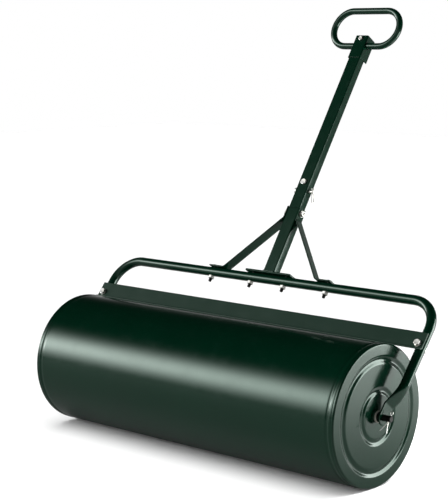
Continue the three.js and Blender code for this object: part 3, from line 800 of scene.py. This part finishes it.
# ---------------------------------------------------------------- head bracket and ring handle
def make_head():
    x = BAR_W / 2 + GAP + HEAD_T / 2
    y = BAR_D / 2 + GAP + HEAD_T / 2
    run = fillet([(-x, -HEAD_BACK), (-x, y), (x, y), (x, -HEAD_BACK)], 2.4, 8)
    lay = ON_BAR @ Matrix.Rotation(math.pi / 2, 4, "X")
    channel = strip(run, HEAD_T, HEAD_LOW, HEAD_HIGH)
    piece("head_bracket_channel", "frame", channel, lay, PAINT, ["head_bracket"],
          holes=[cross_hole(RING_Z, RING_R + GAP, RING_Y), bar_hole(HEAD_BOLT, M6_HOLE, -20, 0)], bevel=0.45)
    piece("head_bolt_hex", "frame", hex_bolt(length=33, **M6_BOLT),
          ON_BAR @ shift(0, -(y + HEAD_T / 2 + GAP), HEAD_BOLT) @ TURN_Z @ ALONG_Y, ZINC, ["head_bolt"])
    piece("head_nut_hex", "frame", hex_nut(*M6_NUT), ON_BAR @ shift(0, BAR_D / 2 + GAP, HEAD_BOLT) @ ALONG_Y,
          ZINC, ["head_nut"])


def make_ring():
    bend = RING_HIGH / 2
    rings = []
    for side in (1, -1):
        for k in range(33):
            a = -math.pi / 2 + k / 32 * math.pi + (math.pi if side < 0 else 0)
            way = Vector((math.cos(a), 0, math.sin(a)))
            centre = Vector((side * (RING_HALF - bend), 0, bend)) + way * bend
            rings.append([centre + way * (RING_R * math.cos(t)) + Vector((0, RING_R * math.sin(t), 0))
                          for t in (2 * math.pi * j / 40 for j in range(40))])
    lean = ON_BAR @ shift(0, RING_Y, RING_Z) @ Matrix.Rotation(BAR_TILT - RING_TILT, 4, "X")
    piece("ring_handle_loop", "ring_handle", skin(rings, True), lean, PAINT, ["ring_handle"])


make_drum()
make_bow()
make_axle()
make_scraper()
make_foot()
make_drawbar()
make_braces()
make_lock()
make_head()
make_ring()

# CAD nodes that stay as they are, inside the others, with a better finish
for node, material in (("axle_tube", DRUM_PAINT), ("drawbar_sleeve", PAINT), ("hub_bush_left", NYLON),
                       ("hub_bush_right", NYLON), ("filler_seal", RUBBER)):
    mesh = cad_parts[node].data
    mesh.materials.clear()
    mesh.materials.append(material)


# ---------------------------------------------------------------- floor, light and camera
FLOOR_HALF, FLOOR_Z = 9.0, -0.0002
FLOOR_BOUNCE = (0.21, 0.21, 0.21)
BAND_ELEVATION, BAND_WIDTH, BAND_POWER = 27.0, 16.0, 10.5
BACK_POWER, BACK_LOW, AMBIENT = 0.4, 0.22, 0.004
SUN_POWER, SUN_ANGLE, SUN_FROM = 3.4, math.radians(60), (-0.10, -0.35, 1.0)
PATCH_SIZE, PATCH_RADIANCE, PATCH_SPREAD = 0.8, 17.0, 90
BOX_WIDTH, BOX_HEIGHT, BOX_RADIANCE = 0.9, 0.78, 7.5
LENS_MM, SENSOR_MM = 107.3736, 36.0
CAMERA_YAW, CAMERA_PITCH = math.radians(41.86), math.radians(8.157)
CAMERA_FROM_AXLE = (2.2134, -2.4490, 0.7783)


def make_floor():
    """A plain pale floor to the camera, darker to bounced light, so that it does not grey the paint."""
    half = FLOOR_HALF
    corners = [(x, y, FLOOR_Z) for x, y in ((-half, -half), (half, -half), (half, half), (-half, half))]
    mesh = bpy.data.meshes.new("floor")
    mesh.from_pydata(corners, [], [(0, 1, 2, 3)])
    floor = bpy.data.objects.new("floor", mesh)
    bpy.context.scene.collection.objects.link(floor)
    material, n, shader, coord = new_material("pale_floor")
    pale = n.mix(n.noise(coord, 3.0), (0.86, 0.86, 0.86), (0.88, 0.88, 0.88))
    seen = n.add("ShaderNodeLightPath").outputs["Is Camera Ray"]
    n.link(n.mix(seen, FLOOR_BOUNCE, pale), shader.inputs["Base Color"])
    shader.inputs["Roughness"].default_value = 0.7
    shader.inputs["Specular IOR Level"].default_value = 0.2
    mesh.materials.append(material)
    return floor


def make_world():
    """A dark studio: one long soft box in front, a dim low wall behind, and white where the camera looks."""
    world = bpy.data.worlds.new("studio")
    bpy.context.scene.world = world
    world.use_nodes = True
    n = Nodes(world.node_tree)
    out = n.add("ShaderNodeOutputWorld")
    split = n.add("ShaderNodeSeparateXYZ")
    n.link(n.add("ShaderNodeTexCoord").outputs["Generated"], split.inputs[0])
    x, y, z = split.outputs
    front = n.math("MULTIPLY", y, -1.0)
    rise = n.math("ARCTAN2", z, front)
    off = n.math("DIVIDE", n.math("SUBTRACT", rise, math.radians(BAND_ELEVATION)), math.radians(BAND_WIDTH))
    bell = n.math("EXPONENT", n.math("MULTIPLY", n.math("MULTIPLY", off, off), -1.0))
    band = n.math("MULTIPLY", bell, n.span(x, -0.80, -0.2, BAND_POWER, BAND_POWER * 0.05))
    level = n.math("DIVIDE", z, BACK_LOW)
    low = n.math("EXPONENT", n.math("MULTIPLY", n.math("MULTIPLY", level, level), -1.0))
    back = n.math("MULTIPLY", low, n.span(y, 0.1, 0.6, 0.0, BACK_POWER))
    total = n.math("ADD", n.math("ADD", band, back), AMBIENT)
    glow = n.add("ShaderNodeBackground")
    n.link(total, glow.inputs["Strength"])
    white = n.add("ShaderNodeBackground")
    white.inputs["Strength"].default_value = 1.0
    white.inputs["Color"].default_value = (1, 1, 1, 1)
    glow.inputs["Color"].default_value = (1, 1, 1, 1)
    mix = n.add("ShaderNodeMixShader")
    n.link(n.add("ShaderNodeLightPath").outputs["Is Camera Ray"], mix.inputs[0])
    n.link(glow.outputs[0], mix.inputs[1])
    n.link(white.outputs[0], mix.inputs[2])
    n.link(mix.outputs[0], out.inputs["Surface"])


def area_light(name, place, towards, width, height, radiance, spread=180.0):
    data = bpy.data.lights.new(name, "AREA")
    data.shape, data.size, data.size_y = "RECTANGLE", width, height
    data.energy = radiance * 4 * width * height
    data.spread = math.radians(spread)
    lamp = bpy.data.objects.new(name, data)
    lamp.location = place
    lamp.rotation_euler = (Vector(place) - Vector(towards)).to_track_quat("Z", "Y").to_euler()
    lamp.visible_camera = False
    bpy.context.scene.collection.objects.link(lamp)
    return lamp


def make_lights(floor):
    """Two lights that only reach the floor, and a low soft box off the drum's right end."""
    only_floor = bpy.data.collections.new("only_floor")
    only_floor.objects.link(floor)
    data = bpy.data.lights.new("overhead", "SUN")
    data.energy = SUN_POWER
    data.angle = SUN_ANGLE
    sun = bpy.data.objects.new("overhead", data)
    sun.rotation_euler = Vector(SUN_FROM).to_track_quat("Z", "Y").to_euler()
    sun.visible_glossy = False
    sun.light_linking.receiver_collection = only_floor
    bpy.context.scene.collection.objects.link(sun)
    patch = area_light("floor_patch", (1.20, 0.80, 1.1), (1.10, 0.60, 0.0), PATCH_SIZE, PATCH_SIZE,
                       PATCH_RADIANCE, PATCH_SPREAD)
    patch.visible_glossy = False
    patch.light_linking.receiver_collection = only_floor
    area_light("back_box", (1.49, 0.92, 0.40), (0.49, -0.2, 0.40), BOX_WIDTH, BOX_HEIGHT, BOX_RADIANCE)


def make_camera():
    data = bpy.data.cameras.new("camera")
    data.sensor_width = SENSOR_MM
    data.lens = LENS_MM
    data.clip_start, data.clip_end = 0.1, 60.0
    camera = bpy.data.objects.new("camera", data)
    yaw, pitch = CAMERA_YAW, CAMERA_PITCH
    ahead = Vector((-math.sin(yaw) * math.cos(pitch), math.cos(yaw) * math.cos(pitch), -math.sin(pitch)))
    right = Vector((math.cos(yaw), math.sin(yaw), 0.0))
    up = right.cross(ahead)
    x, y, z = CAMERA_FROM_AXLE
    camera.matrix_world = Matrix((
        (right.x, up.x, -ahead.x, x), (right.y, up.y, -ahead.y, y + AXLE_Y * 0.001),
        (right.z, up.z, -ahead.z, z + AXLE_HIGH * 0.001), (0, 0, 0, 1)))
    bpy.context.scene.collection.objects.link(camera)
    bpy.context.scene.camera = camera


make_world()
make_lights(make_floor())
make_camera()
bpy.context.scene.view_settings.view_transform = "Standard"
